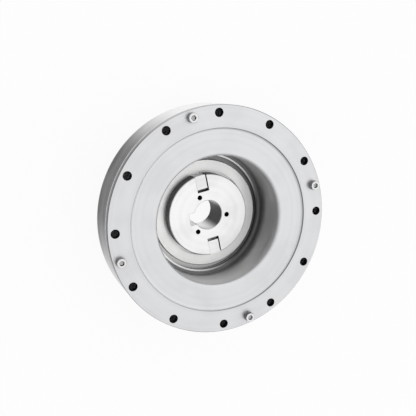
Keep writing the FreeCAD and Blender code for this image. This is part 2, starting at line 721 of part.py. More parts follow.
def input_hub():
    """Input disc with two slots for the tongues, on a sleeve that passes through the plug."""
    bore = hub_bore_radius
    snap_rear = bearing_rear
    snap_floor = sleeve_radius - SNAP_GROOVE_DEPTH
    blank = turned(
        (bore + BORE_CHAMFER, hub_front),
        (bore, hub_front - BORE_CHAMFER),
        (bore, sleeve_rear + BORE_CHAMFER),
        (bore + BORE_CHAMFER, sleeve_rear),
        (sleeve_radius - HUB_CHAMFER, sleeve_rear),
        (sleeve_radius, sleeve_rear + HUB_CHAMFER),
        (sleeve_radius, snap_rear),
        (snap_floor, snap_rear),
        (snap_floor, snap_rear + SNAP_RING_THICKNESS),
        (sleeve_radius, snap_rear + SNAP_RING_THICKNESS),
        (sleeve_radius, hub_rear),
        (hub_radius, hub_rear),
        (hub_radius, hub_front - HUB_CHAMFER),
        (hub_radius - HUB_CHAMFER, hub_front),
    )
    slot_width = TONGUE_WIDTH + TONGUE_SIDE_GAP + TONGUE_FAR_GAP
    slot_root = tongue_root_radius - FLOAT_TRAVEL - SLOT_END_ROOM
    slots = tongue(slot_width, slot_root, body_radius, hub_rear, hub_front, body_radius)
    tap_angles = [HUB_TAP_ANGLE + 360 / HUB_TAP_COUNT * k for k in range(HUB_TAP_COUNT)]
    taps = drills(
        HUB_TAP_DIAMETER / 2, hub_front - HUB_TAP_DEPTH, hub_front, bore + HUB_TAP_INSET, tap_angles
    )
    return at_rest(coupled([blank.cut(slots + taps)])[0])


def rub_washer():
    inner = sleeve_radius + WASHER_PLAY
    return ring(inner, washer_radius, washer_front - WASHER_THICKNESS, washer_front)


def snap_ring():
    """Open spring ring in the groove of the sleeve, which keeps the washer and hub in place."""
    inner = sleeve_radius - SNAP_GROOVE_DEPTH + THREAD_PLAY
    outer = inner + SNAP_RING_WIDTH
    hoop = ring(inner, outer, bearing_rear, bearing_rear + SNAP_RING_THICKNESS)
    wedge = Part.makeCylinder(
        2 * outer, BEARING_WIDTH, FreeCAD.Vector(0, 0, bearing_rear), AXIS, SNAP_RING_OPENING
    )
    return at_rest(hoop.cut(wedge))


NODES = [
    flexspline_flange,
    flexspline_cup,
    bearing_outer_ring,
    roller_fill_plug,
    assembly_screws,
    bearing_seal,
    bearing_inner_ring,
    circular_spline,
    spline_screws,
    crossed_rollers,
    roller_spacers,
    flex_bearing_outer_race,
    flex_bearing_inner_race,
    flex_bearing_balls,
    ball_separator,
    wave_generator_plug,
    coupling_insert,
    input_hub,
    rub_washer,
    snap_ring,
]

os.makedirs("parts", exist_ok=True)
for build in NODES:
    build().exportStep(f"parts/{build.__name__}.step")
fill_pin().exportStep("parts/fill_plug_pin.step")
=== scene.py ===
"""Looks of a flat round strain-wave gear reducer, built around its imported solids.

Sizes are in millimetres in the reducer's own frame: Z is the gear axis, Z = 0 is the rear face, and the
open mouth of the flange looks up. Angles are in degrees about the gear axis.
"""

import logging
import math
from dataclasses import dataclass
from enum import Enum

import bmesh
import bpy
from mathutils import Matrix, Vector


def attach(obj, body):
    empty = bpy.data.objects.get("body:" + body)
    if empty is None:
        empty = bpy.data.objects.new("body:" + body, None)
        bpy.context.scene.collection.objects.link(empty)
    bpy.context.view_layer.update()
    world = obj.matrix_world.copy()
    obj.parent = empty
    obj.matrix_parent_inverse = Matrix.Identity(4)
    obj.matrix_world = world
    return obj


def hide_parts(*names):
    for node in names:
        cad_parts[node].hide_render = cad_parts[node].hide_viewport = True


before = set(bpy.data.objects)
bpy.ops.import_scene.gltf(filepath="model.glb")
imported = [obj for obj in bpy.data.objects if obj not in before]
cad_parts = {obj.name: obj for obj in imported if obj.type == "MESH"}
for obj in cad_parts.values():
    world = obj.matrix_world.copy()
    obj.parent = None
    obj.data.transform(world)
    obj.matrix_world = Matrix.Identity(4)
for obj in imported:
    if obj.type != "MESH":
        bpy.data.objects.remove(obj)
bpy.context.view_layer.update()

MM = 0.001
SHARP_ANGLE = math.radians(32.0)
ABOVE_ALL = 40.0  # a height above the whole reducer
INSIDE_CUP = 30.0  # a radius that takes in the cup and all that sits in it
PAST_EDGE = 1.0  # how far a band runs on past the last face that it covers
LOG = logging.getLogger("gear_reducer")

Socket = bpy.types.NodeSocket
Colour = tuple[float, float, float]
Point = tuple[float, float, float]
Span = tuple[float, float]
Loop = list[bmesh.types.BMVert]


class Slot(Enum):
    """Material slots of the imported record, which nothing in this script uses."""

    SCREW_STEEL = "screw_steel"
    HUB_ALUMINIUM = "hub_aluminium"


class Body(Enum):
    """Bodies that new pieces ride on."""

    FIXED_FLANGE = "fixed_flange"
    OUTPUT = "output"
    HUB_SET = "hub_set"


class Effect(Enum):
    """Shader node groups that several finishes share."""

    ROUND_PLACE = "round_place"
    TURNING_MARKS = "turning_marks"
    SATIN_GRAIN = "satin_grain"
    HANDLING_FILM = "handling_film"
    HOLE_SHADE = "hole_shade"
    EDGE_GLINT = "edge_glint"
    WALL_BAND = "wall_band"
    AXIAL_SHEEN = "axial_sheen"


class Graph:
    """Adds nodes to one shader tree and joins them."""

    def __init__(self, tree: bpy.types.NodeTree) -> None:
        """Keep the tree that the nodes go into."""
        self.tree = tree

    def feed(self, socket: Socket, value: object) -> None:
        """Link a socket to an input, or set a plain value on it.

        Args:
            socket: Input socket to fill.
            value: Output socket of another node, or a number or colour.
        """
        if isinstance(value, Socket):
            self.tree.links.new(value, socket)
        else:
            socket.default_value = value

    def add(self, kind: str, inputs: dict[str, object] | None = None, **settings: object) -> bpy.types.Node:
        """Add one node.

        Args:
            kind: Type name of the node.
            inputs: Values or sockets by input name.
            settings: Properties of the node.

        Returns:
            The new node.
        """
        node = self.tree.nodes.new(kind)
        for name, value in settings.items():
            setattr(node, name, value)
        for name, value in (inputs or {}).items():
            self.feed(node.inputs[name], value)
        return node

    def math(self, operation: str, *values: object) -> Socket:
        """Add a Math node.

        Args:
            operation: Name of the operation.
            values: Its operands, as numbers or sockets.

        Returns:
            The result.
        """
        node = self.add("ShaderNodeMath", operation=operation)
        for socket, value in zip(node.inputs, values):
            self.feed(socket, value)
        return node.outputs[0]

    def length(self, first: Socket, second: Socket) -> Socket:
        """Measure a distance.

        Args:
            first: Its share along one direction.
            second: Its share at right angles to that.

        Returns:
            The distance.
        """
        squares = [self.math("MULTIPLY", side, side) for side in (first, second)]
        return self.math("SQRT", self.math("ADD", *squares))

    def smooth(self, value: object, start: object, end: object) -> Socket:
        """Rise smoothly from 0 to 1 as a value goes from start to end.

        Args:
            value: Value to look at.
            start: Where the rise begins.
            end: Where it ends, which may be below start.

        Returns:
            The share from 0 to 1.
        """
        ranged = {"Value": value, "From Min": start, "From Max": end}
        node = self.add("ShaderNodeMapRange", ranged, interpolation_type="SMOOTHSTEP")
        return node.outputs["Result"]

    def scaled(self, value: object, low: object, high: object) -> Socket:
        """Spread a share from 0 to 1 over another range.

        Args:
            value: Share from 0 to 1.
            low: Result at 0.
            high: Result at 1.

        Returns:
            The spread value.
        """
        ranged = {"Value": value, "To Min": low, "To Max": high}
        return self.add("ShaderNodeMapRange", ranged).outputs["Result"]

    def noise(self, scale: object, detail: float, vector: object = None, along: object = None) -> Socket:
        """Add a noise texture in space, or along one value.

        Args:
            scale: Waves per unit.
            detail: Number of finer octaves.
            vector: Place in space.
            along: Value that a one-way noise follows.

        Returns:
            Noise from 0 to 1.
        """
        node = self.add("ShaderNodeTexNoise", {"Scale": scale, "Detail": detail})
        if along is None:
            self.feed(node.inputs["Vector"], vector)
        else:
            node.noise_dimensions = "1D"
            self.feed(node.inputs["W"], along)
        return node.outputs[0]

    def blend(self, share: object, first: object, second: object) -> Socket:
        """Mix two colours.

        Args:
            share: Share of the second colour.
            first: Colour at 0.
            second: Colour at 1.

        Returns:
            The mixed colour.
        """
        node = self.add("ShaderNodeMix", data_type="RGBA")
        self.feed(node.inputs[0], share)
        # Inputs 6 and 7 and output 2 are the colours of a Mix node.
        for socket, colour in zip(node.inputs[6:8], (first, second)):
            self.feed(socket, colour if isinstance(colour, Socket) else (*colour, 1.0))
        return node.outputs[2]

    def effect(self, kind: Effect, inputs: dict[str, object]) -> bpy.types.NodeOutputs:
        """Place a shared node group.

        Args:
            kind: Which effect.
            inputs: Values or sockets by input name.

        Returns:
            The outputs of the group, by name.
        """
        return self.add("ShaderNodeGroup", inputs, node_tree=bpy.data.node_groups[kind.value]).outputs


@dataclass(frozen=True)
class EffectLibrary:
    """Builds the shared node groups once. All of them take a place in millimetres."""

    wall_lead: float = 0.83  # how fast lathe marks climb a wall, against 1 across a face
    mark_waver_scale: float = 0.12
    mark_waver: float = 0.15
    film_range: Span = (0.38, 0.66)
    hole_margin: Span = (0.06, 0.02)
    hole_depth: Span = (0.02, 0.35)
    wear_scale: float = 0.7
    wear_range: Span = (0.4, 1.3)
    sheen_waver_scale: float = 0.05
    sheen_waver: float = 0.5
    darkest_wave: float = -0.5

    def build(self) -> None:
        """Build every group, those that others use first."""
        self.round_place()
        self.turning_marks()
        self.satin_grain()
        self.handling_film()
        self.hole_shade()
        self.edge_glint()
        self.wall_band()
        self.axial_sheen()

    def start(
        self, kind: Effect, values: dict[str, float], outputs: tuple[str, ...],
    ) -> tuple[Graph, dict[str, Socket], dict[str, Socket]]:
        """Open a new group.

        Args:
            kind: Which effect.
            values: Default of each number that the group takes besides Place.
            outputs: Names of the values that it gives.

        Returns:
            Its graph, its input sockets and its output sockets, by name.
        """
        tree = bpy.data.node_groups.new(kind.value, "ShaderNodeTree")
        tree.interface.new_socket(name="Place", in_out="INPUT", socket_type="NodeSocketVector")
        for name, default in values.items():
            socket = tree.interface.new_socket(name=name, in_out="INPUT", socket_type="NodeSocketFloat")
            socket.default_value = default
        for name in outputs:
            tree.interface.new_socket(name=name, in_out="OUTPUT", socket_type="NodeSocketFloat")
        graph = Graph(tree)
        entry = graph.add("NodeGroupInput")
        leave = graph.add("NodeGroupOutput")
        return graph, {s.name: s for s in entry.outputs}, {s.name: s for s in leave.inputs}

    def round_place(self) -> None:
        """Radius, height and angle about the gear axis."""
        graph, given, result = self.start(Effect.ROUND_PLACE, {}, ("Radius", "Height", "Angle"))
        parts = graph.add("ShaderNodeSeparateXYZ", {"Vector": given["Place"]}).outputs
        graph.feed(result["Radius"], graph.length(parts["X"], parts["Y"]))
        graph.feed(result["Height"], parts["Z"])
        graph.feed(result["Angle"], graph.math("ARCTAN2", parts["Y"], parts["X"]))

    def turning_marks(self) -> None:
        """Fine rings left by the lathe or the grinding wheel, on faces and on walls alike."""
        values = {"Pitch": 0.2, "Bands": 12.0}
        graph, given, result = self.start(Effect.TURNING_MARKS, values, ("Ridge", "Band"))
        place = graph.effect(Effect.ROUND_PLACE, {"Place": given["Place"]})
        lead = graph.math("ADD", place["Radius"], graph.math("MULTIPLY", place["Height"], self.wall_lead))
        drift = graph.noise(self.mark_waver_scale, 2.0, vector=given["Place"])
        path = graph.math("ADD", lead, graph.math("MULTIPLY", drift, self.mark_waver))
        steps = graph.math("DIVIDE", path, given["Pitch"])
        graph.feed(result["Ridge"], graph.noise(1.0, 2.0, along=steps))
        graph.feed(result["Band"], graph.noise(1.0, 3.0, along=graph.math("DIVIDE", steps, given["Bands"])))

    def satin_grain(self) -> None:
        """Fine even grain of a blasted or honed face."""
        graph, given, result = self.start(Effect.SATIN_GRAIN, {"Size": 0.15}, ("Grain",))
        density = graph.math("DIVIDE", 1.0, given["Size"])
        graph.feed(result["Grain"], graph.noise(density, 3.0, vector=given["Place"]))

    def handling_film(self) -> None:
        """Faint uneven film of oil and handling."""
        graph, given, result = self.start(Effect.HANDLING_FILM, {"Size": 12.0}, ("Film",))
        density = graph.math("DIVIDE", 1.0, given["Size"])
        wide = graph.noise(density, 4.0, vector=given["Place"])
        graph.feed(result["Film"], graph.smooth(wide, *self.film_range))

    def hole_shade(self) -> None:
        """Mask of the walls of a ring of holes, below the face that they are drilled into."""
        values = {"Count": 12.0, "Turn": 0.0, "Circle": 42.0, "Hole": 1.75, "Face": 27.0}
        graph, given, result = self.start(Effect.HOLE_SHADE, values, ("Mask",))
        place = graph.effect(Effect.ROUND_PLACE, {"Place": given["Place"]})
        step = graph.math("DIVIDE", 2 * math.pi, given["Count"])
        turned = graph.math("SUBTRACT", place["Angle"], given["Turn"])
        nearest = graph.math("MULTIPLY", graph.math("ROUND", graph.math("DIVIDE", turned, step)), step)
        off = graph.math("SUBTRACT", turned, nearest)
        out = graph.math("MULTIPLY", place["Radius"], graph.math("COSINE", off))
        aside = graph.math("MULTIPLY", place["Radius"], graph.math("SINE", off))
        away = graph.length(graph.math("SUBTRACT", out, given["Circle"]), aside)
        inside = graph.smooth(graph.math("SUBTRACT", away, given["Hole"]), *self.hole_margin)
        depth = graph.math("SUBTRACT", given["Face"], place["Height"])
        graph.feed(result["Mask"], graph.math("MULTIPLY", inside, graph.smooth(depth, *self.hole_depth)))

    def edge_glint(self) -> None:
        """Mask of a bright turned edge, part handling polish and part painted highlight, broken up along its
        length.
        """
        values = {"Radius": 45.0, "Height": 27.0, "Width": 0.35}
        graph, given, result = self.start(Effect.EDGE_GLINT, values, ("Mask",))
        place = graph.effect(Effect.ROUND_PLACE, {"Place": given["Place"]})
        out = graph.math("SUBTRACT", place["Radius"], given["Radius"])
        up = graph.math("SUBTRACT", place["Height"], given["Height"])
        near = graph.smooth(graph.length(out, up), given["Width"], 0.0)
        worn = graph.scaled(graph.noise(self.wear_scale, 3.0, vector=given["Place"]), *self.wear_range)
        graph.feed(result["Mask"], graph.math("MULTIPLY", near, worn))

    def wall_band(self) -> None:
        """Mask of painted shade on turned walls between two radii and heights, faded outwards at its limits.
        """
        values = {"Inner": 44.9, "Outer": 46.0, "Bottom": 0.0, "Top": 26.8, "Fade": 0.1}
        graph, given, result = self.start(Effect.WALL_BAND, values, ("Mask",))
        place = graph.effect(Effect.ROUND_PLACE, {"Place": given["Place"]})
        bands = []
        for value, low, high in (("Radius", "Inner", "Outer"), ("Height", "Bottom", "Top")):
            before = graph.math("SUBTRACT", given[low], given["Fade"])
            after = graph.math("ADD", given[high], given["Fade"])
            rise = graph.smooth(place[value], before, given[low])
            fall = graph.smooth(place[value], after, given[high])
            bands.append(graph.math("MULTIPLY", rise, fall))
        graph.feed(result["Mask"], graph.math("MULTIPLY", *bands))

    def axial_sheen(self) -> None:
        """Painted reflection bands along the axis, light and dark. Lean makes the one at Turn the brightest.
        """
        values = {"Lobes": 3.0, "Turn": 75.0, "Lean": 0.0}
        graph, given, result = self.start(Effect.AXIAL_SHEEN, values, ("Sheen",))
        place = graph.effect(Effect.ROUND_PLACE, {"Place": given["Place"]})
        turn = graph.math("SUBTRACT", place["Angle"], graph.math("RADIANS", given["Turn"]))
        wave = graph.math("COSINE", graph.math("MULTIPLY", turn, given["Lobes"]))
        wave = graph.math("ADD", wave, graph.math("MULTIPLY", graph.math("COSINE", turn), given["Lean"]))
        drift = graph.noise(self.sheen_waver_scale, 1.0, vector=given["Place"])
        waver = graph.math("MULTIPLY", graph.math("SUBTRACT", drift, 0.5), self.sheen_waver)
        wave = graph.math("ADD", wave, waver)
        brightest = graph.math("ADD", given["Lean"], 1.0)
        graph.feed(result["Sheen"], graph.smooth(wave, self.darkest_wave, brightest))


@dataclass(frozen=True)
class HoleRing:
    """Ring of holes whose walls are painted dark as shade. The screws use it for their painted light and
    shade.
    """

    count: int
    turn: float
    circle: float
    hole: float
    face: float
    colour: Colour = (0.028, 0.028, 0.029)


@dataclass(frozen=True)
class Edge:
    """Turned edge painted bright, part wear and part painted highlight."""

    radius: float
    height: float
    width: float


@dataclass(frozen=True)
class Wall:
    """Band of a turned surface in painted shade, with painted reflection bands round the axis."""

    inner: float
    outer: float
    bottom: float
    top: float
    fade: float
    # colour is the painted shade at the dark bands, sheen the painted reflection at the light ones.
    colour: Colour
    sheen: Colour
    lobes: float = 3.0
    turn: float = 86.0
    lean: float = 0.0


def link(name: str, data: bpy.types.ID) -> bpy.types.Object:
    """Put a new object into the scene.

    Args:
        name: Name of the object.
        data: Its mesh, lamp or camera.

    Returns:
        The object, at the origin.
    """
    made = bpy.data.objects.new(name, data)
    bpy.context.scene.collection.objects.link(made)
    return made


def closed_mesh(bm: bmesh.types.BMesh, name: str) -> bpy.types.Mesh:
    """Close a bmesh and keep what it holds.

    Args:
        bm: Mesh in the making, in metres.
        name: Name of the mesh.

    Returns:
        The mesh.
    """
    mesh = bpy.data.meshes.new(name)
    bm.to_mesh(mesh)
    bm.free()
    return mesh


def empty_material(name: str) -> tuple[bpy.types.Material, Graph]:
    """Start a material.

    Args:
        name: Name of the material.

    Returns:
        The material and its empty graph.
    """
    made = bpy.data.materials.new(name)
    made.use_nodes = True
    made.node_tree.nodes.clear()
    return made, Graph(made.node_tree)


def place_in_mm(graph: Graph) -> Socket:
    """Object coordinates in millimetres.

    Args:
        graph: Graph of the material.

    Returns:
        The place on the piece.
    """
    source = graph.add("ShaderNodeTexCoord").outputs["Object"]
    node = graph.add("ShaderNodeVectorMath", operation="SCALE")
    graph.feed(node.inputs["Vector"], source)
    node.inputs["Scale"].default_value = 1.0 / MM
    return node.outputs["Vector"]


def surface(graph: Graph, colour: Socket, rough: Socket, height: Socket, metallic: float) -> None:
    """End a material in its shader.

    Args:
        graph: Graph of the material.
        colour: Base colour.
        rough: Roughness.
        height: Height of the fine relief, in millimetres.
        metallic: 1 for bare metal, 0 for the rest.
    """
    relief = graph.add("ShaderNodeBump", {"Height": height, "Strength": 1.0, "Distance": MM})
    normal = relief.outputs["Normal"]
    inputs = {"Base Color": colour, "Roughness": rough, "Normal": normal, "Metallic": metallic}
    shader = graph.add("ShaderNodeBsdfPrincipled", inputs)
    graph.add("ShaderNodeOutputMaterial", {"Surface": shader.outputs["BSDF"]})


@dataclass(frozen=True)
class MetalFinish:
    """Turned or ground metal with lathe marks, grain, film, painted shade and reflection, and painted bright
    edges.
    """

    name: str
    colour: Colour
    shade: Colour
    roughness: Span
    pitch: float
    ridge_depth: float
    grain_size: float
    grain_depth: float
    holes: tuple[HoleRing, ...] = ()
    edges: tuple[Edge, ...] = ()
    walls: tuple[Wall, ...] = ()
    edge_colour: Colour = (0.90, 0.90, 0.91)
    metallic: float = 1.0
    band_share: float = 0.7
    film_share: float = 0.3
    colour_tones: Span = (0.25, 0.75)
    rough_tones: Span = (0.2, 0.8)
    streak_ridges: Span = (0.3, 0.7)
    streak_range: Span = (0.95, 1.0)
    hole_roughness: float = 0.4

    def with_walls(self, graph: Graph, place: Socket, ridge: Socket, colour: Socket) -> Socket:
        """Paint shade and reflection bands onto the walls.

        Args:
            graph: Graph of the material.
            place: Place in millimetres.
            ridge: Height of the lathe marks.
            colour: Colour so far.

        Returns:
            The colour with the walls in it.
        """
        for wall in self.walls:
            band = {
                "Place": place, "Inner": wall.inner, "Outer": wall.outer,
                "Bottom": wall.bottom, "Top": wall.top, "Fade": wall.fade,
            }
            mask = graph.effect(Effect.WALL_BAND, band)["Mask"]
            streak = graph.scaled(graph.smooth(ridge, *self.streak_ridges), *self.streak_range)
            lobes = {"Place": place, "Lobes": wall.lobes, "Turn": wall.turn, "Lean": wall.lean}
            sheen = graph.effect(Effect.AXIAL_SHEEN, lobes)["Sheen"]
            # The tint is painted shade, lightened by painted reflection where the sheen bands fall.
            tint = graph.blend(sheen, wall.colour, wall.sheen)
            colour = graph.blend(graph.math("MULTIPLY", mask, streak), colour, tint)
        return colour

    def with_edges(self, graph: Graph, place: Socket, colour: Socket) -> Socket:
        """Brighten the edges, part wear and part painted highlight.

        Args:
            graph: Graph of the material.
            place: Place in millimetres.
            colour: Colour so far.

        Returns:
            The colour with the edges in it.
        """
        for edge in self.edges:
            ring = {"Place": place, "Radius": edge.radius, "Height": edge.height, "Width": edge.width}
            colour = graph.blend(graph.effect(Effect.EDGE_GLINT, ring)["Mask"], colour, self.edge_colour)
        return colour

    def with_holes(self, graph: Graph, place: Socket, colour: Socket, rough: Socket) -> tuple[Socket, Socket]:
        """Paint shade into the walls of the holes, and light and shade onto the screws, and roughen them.

        Args:
            graph: Graph of the material.
            place: Place in millimetres.
            colour: Colour so far.
            rough: Roughness so far.

        Returns:
            The colour and the roughness with the holes in them.
        """
        for ring in self.holes:
            drilled = {
                "Place": place, "Count": float(ring.count), "Turn": math.radians(ring.turn),
                "Circle": ring.circle, "Hole": ring.hole, "Face": ring.face,
            }
            mask = graph.effect(Effect.HOLE_SHADE, drilled)["Mask"]
            colour = graph.blend(mask, colour, ring.colour)
            rough = graph.math("ADD", rough, graph.math("MULTIPLY", mask, self.hole_roughness))
        return colour, rough

    def material(self) -> bpy.types.Material:
        """Build the material.

        Returns:
            A procedural metal on Object coordinates.
        """
        made, graph = empty_material(self.name)
        place = place_in_mm(graph)
        marks = graph.effect(Effect.TURNING_MARKS, {"Place": place, "Pitch": self.pitch})
        grain = graph.effect(Effect.SATIN_GRAIN, {"Place": place, "Size": self.grain_size})["Grain"]
        film = graph.effect(Effect.HANDLING_FILM, {"Place": place})["Film"]
        bands = graph.math("MULTIPLY", marks["Band"], self.band_share)
        tone = graph.math("ADD", bands, graph.math("MULTIPLY", film, self.film_share))
        colour = graph.blend(graph.smooth(tone, *self.colour_tones), self.colour, self.shade)
        rough = graph.scaled(graph.smooth(tone, *self.rough_tones), *self.roughness)
        colour = self.with_walls(graph, place, marks["Ridge"], colour)
        colour = self.with_edges(graph, place, colour)
        colour, rough = self.with_holes(graph, place, colour, rough)
        ridge = graph.math("MULTIPLY", marks["Ridge"], self.ridge_depth)
        height = graph.math("ADD", ridge, graph.math("MULTIPLY", grain, self.grain_depth))
        surface(graph, colour, rough, height, self.metallic)
        return made


@dataclass(frozen=True)
class MouldedFinish:
    """Moulded rubber or plastic with a fine grain and a faint mottle."""

    name: str
    colour: Colour
    shade: Colour
    roughness: Span
    grain_size: float
    grain_depth: float
    mottle_size: float = 4.0

    def material(self) -> bpy.types.Material:
        """Build the material.

        Returns:
            A procedural plastic or rubber on Object coordinates.
        """
        made, graph = empty_material(self.name)
        place = place_in_mm(graph)
        grain = graph.effect(Effect.SATIN_GRAIN, {"Place": place, "Size": self.grain_size})["Grain"]
        film = graph.effect(Effect.HANDLING_FILM, {"Place": place, "Size": self.mottle_size})["Film"]
        tone = graph.math("ADD", graph.math("MULTIPLY", grain, 0.5), graph.math("MULTIPLY", film, 0.5))
        colour = graph.blend(tone, self.colour, self.shade)
        rough = graph.scaled(tone, *self.roughness)
        surface(graph, colour, rough, graph.math("MULTIPLY", grain, self.grain_depth), 0.0)
        return made


def dress(node: str, material: bpy.types.Material) -> None:
    """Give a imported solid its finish.

    Args:
        node: Name of the solid.
        material: Its new material.
    """
    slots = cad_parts[node].data.materials
    slots.clear()
    slots.append(material)
    LOG.info("%s is dressed in %s", node, material.name)


# Painted shade in the holes: near black, and grey in the bearing ring's holes under the flange.
FLANGE_HOLES = HoleRing(count=12, turn=15.0, circle=42.0, hole=1.75, face=27.0)
RING_HOLES = HoleRing(
    count=12, turn=15.0, circle=42.0, hole=1.75, face=ABOVE_ALL, colour=(0.34, 0.34, 0.345),
)
OUTPUT_HOLES = HoleRing(count=12, turn=0.0, circle=30.0, hole=1.70, face=ABOVE_ALL)
HUB_HOLES = HoleRing(count=3, turn=100.25, circle=8.1, hole=1.025, face=13.1)


@dataclass
class Flexspline:
    """Bolting rim, diaphragm and thin cup."""

    rim_radius: float = 45.0
    front: float = 27.0
    step_radius: float = 36.28
    step_width: float = 0.4
    step_depth: float = 0.55
    mouth_radius: float = 27.5
    mouth_depth: float = 2.4
    groove_bottom: float = 8.0
    groove_top: float = 8.75
    deep_top: float = 9.5
    deep_fade: float = 13.0
    light_side: float = -115.0
    # The wall, step, cup, deep and groove colours are painted shade; their sheens are painted reflection
    # bands.
    wall_shade_colour: Colour = (0.17, 0.17, 0.174)
    wall_sheen: Colour = (0.54, 0.54, 0.55)
    step_shade_colour: Colour = (0.28, 0.28, 0.285)
    step_sheen: Colour = (0.70, 0.70, 0.71)
    cup_shaded_colour: Colour = (0.46, 0.46, 0.465)
    cup_sheen: Colour = (0.74, 0.74, 0.74)
    deep_shade_colour: Colour = (0.31, 0.31, 0.312)
    deep_sheen: Colour = (0.46, 0.46, 0.462)
    groove_shadow_colour: Colour = (0.26, 0.26, 0.262)

    def deep_painted_shade(self) -> Wall:
        """Make the painted shade at the deep end of the cup, which fades out towards the mouth.

        Returns:
            The wall.
        """
        return Wall(
            inner=0.0, outer=INSIDE_CUP, bottom=0.0, top=self.deep_top, fade=self.deep_fade,
            colour=self.deep_shade_colour, sheen=self.deep_sheen, lobes=1.0, turn=self.light_side,
        )

    def flange_finish(self) -> MetalFinish:
        """Make fine ground spring steel with painted shade and reflection bands on the turned outside, in the
        mouth, deep in the cup and at the step.

        Returns:
            The finish of the flange.
        """
        outside = Wall(
            inner=self.rim_radius - 0.2, outer=self.rim_radius + PAST_EDGE, bottom=0.0,
            top=self.front + PAST_EDGE, fade=0.08, colour=self.wall_shade_colour, sheen=self.wall_sheen,
        )
        mouth = Wall(
            inner=0.0, outer=self.mouth_radius, bottom=0.0, top=self.front - self.mouth_depth, fade=0.7,
            colour=self.cup_shaded_colour, sheen=self.cup_sheen, lobes=1.0, turn=self.light_side,
        )
        # A painted shade line in the step, lighter on the side at 180 degrees.
        step = Wall(
            inner=self.step_radius - self.step_width, outer=self.step_radius,
            bottom=self.front - self.step_depth, top=self.front + PAST_EDGE, fade=0.08,
            colour=self.step_shade_colour, sheen=self.step_sheen, lobes=1.0, turn=180.0,
        )
        return MetalFinish(
            name="ground_spring_steel", colour=(0.72, 0.725, 0.735), shade=(0.69, 0.695, 0.71),
            roughness=(0.34, 0.42), pitch=0.18, ridge_depth=0.0010, grain_size=0.12, grain_depth=0.0010,
            holes=(FLANGE_HOLES,), walls=(outside, mouth, self.deep_painted_shade(), step),
        )

    def cup_finish(self) -> MetalFinish:
        """Make honed steel darkened as painted shade, with painted reflection bands and a painted shadow in
        the groove where the bearing is pressed in.

        Returns:
            The finish of the cup.
        """
        inside = Wall(
            inner=0.0, outer=INSIDE_CUP, bottom=0.0, top=self.front, fade=0.1,
            colour=self.cup_shaded_colour, sheen=self.cup_sheen, lobes=1.0, turn=self.light_side,
        )
        groove = Wall(
            inner=0.0, outer=INSIDE_CUP, bottom=self.groove_bottom, top=self.groove_top, fade=0.35,
            colour=self.groove_shadow_colour, sheen=self.groove_shadow_colour,
        )
        return MetalFinish(
            name="honed_cup_steel", colour=self.cup_shaded_colour, shade=(0.43, 0.43, 0.435),
            roughness=(0.30, 0.40), pitch=0.25, ridge_depth=0.0010, grain_size=0.12, grain_depth=0.0008,
            walls=(inside, self.deep_painted_shade(), groove),
        )

    def build(self) -> None:
        """Dress the flange and the cup."""
        dress("flexspline_flange", self.flange_finish().material())
        dress("flexspline_cup", self.cup_finish().material())


@dataclass
class OutputBearing:
    """Crossed-roller bearing that carries the output."""

    outer_radius: float = 45.0
    front: float = 24.5
    rear: float = 10.0
    # Painted shade and painted reflection bands on the outside wall, and the colour of its painted edge
    # highlights.
    wall_shade_colour: Colour = (0.055, 0.055, 0.057)
    wall_sheen: Colour = (0.98, 0.98, 0.985)
    edge_colour: Colour = (0.85, 0.85, 0.86)

    def ring_finish(self) -> MetalFinish:
        """Make ground bearing steel with painted shade and painted reflection bands on the turned outside.

        Returns:
            The finish of the rings.
        """
        rim = self.outer_radius
        outside = Wall(
            inner=rim - 0.05, outer=rim + PAST_EDGE, bottom=0.0, top=self.front + PAST_EDGE, fade=0.1,
            colour=self.wall_shade_colour, sheen=self.wall_sheen, turn=79.0, lean=0.6,
        )
        # Both edges are painted highlight lines along the chamfers.
        front = Edge(radius=rim, height=self.front - 0.2, width=0.6)
        rear = Edge(radius=rim - 0.15, height=self.rear, width=0.35)
        return MetalFinish(
            name="ground_bearing_steel", colour=(0.50, 0.51, 0.53), shade=(0.42, 0.43, 0.45),
            roughness=(0.30, 0.42), pitch=0.30, ridge_depth=0.0020, grain_size=0.20, grain_depth=0.0010,
            holes=(RING_HOLES,), edges=(front, rear), walls=(outside,), edge_colour=self.edge_colour,
        )

    def build(self) -> None:
        """Dress the bearing, and the balls and the cage of the flexible bearing."""
        ring = self.ring_finish().material()
        polished = MetalFinish(
            name="polished_roller_steel", colour=(0.78, 0.78, 0.80), shade=(0.72, 0.72, 0.74),
            roughness=(0.10, 0.18), pitch=0.10, ridge_depth=0.0003, grain_size=0.2, grain_depth=0.0002,
        ).material()
        cage = MouldedFinish(
            name="moulded_cage", colour=(0.06, 0.06, 0.06), shade=(0.045, 0.045, 0.045),
            roughness=(0.42, 0.55), grain_size=0.25, grain_depth=0.004,
        ).material()
        rubber = MouldedFinish(
            name="lip_seal_rubber", colour=(0.03, 0.03, 0.03), shade=(0.045, 0.045, 0.044),
            roughness=(0.55, 0.72), grain_size=0.2, grain_depth=0.006,
        ).material()
        for node in ("bearing_outer_ring", "roller_fill_plug", "fill_plug_pin", "bearing_inner_ring"):
            dress(node, ring)
        for node in ("crossed_rollers", "flex_bearing_balls"):
            dress(node, polished)
        for node in ("roller_spacers", "ball_separator"):
            dress(node, cage)
        dress("bearing_seal", rubber)


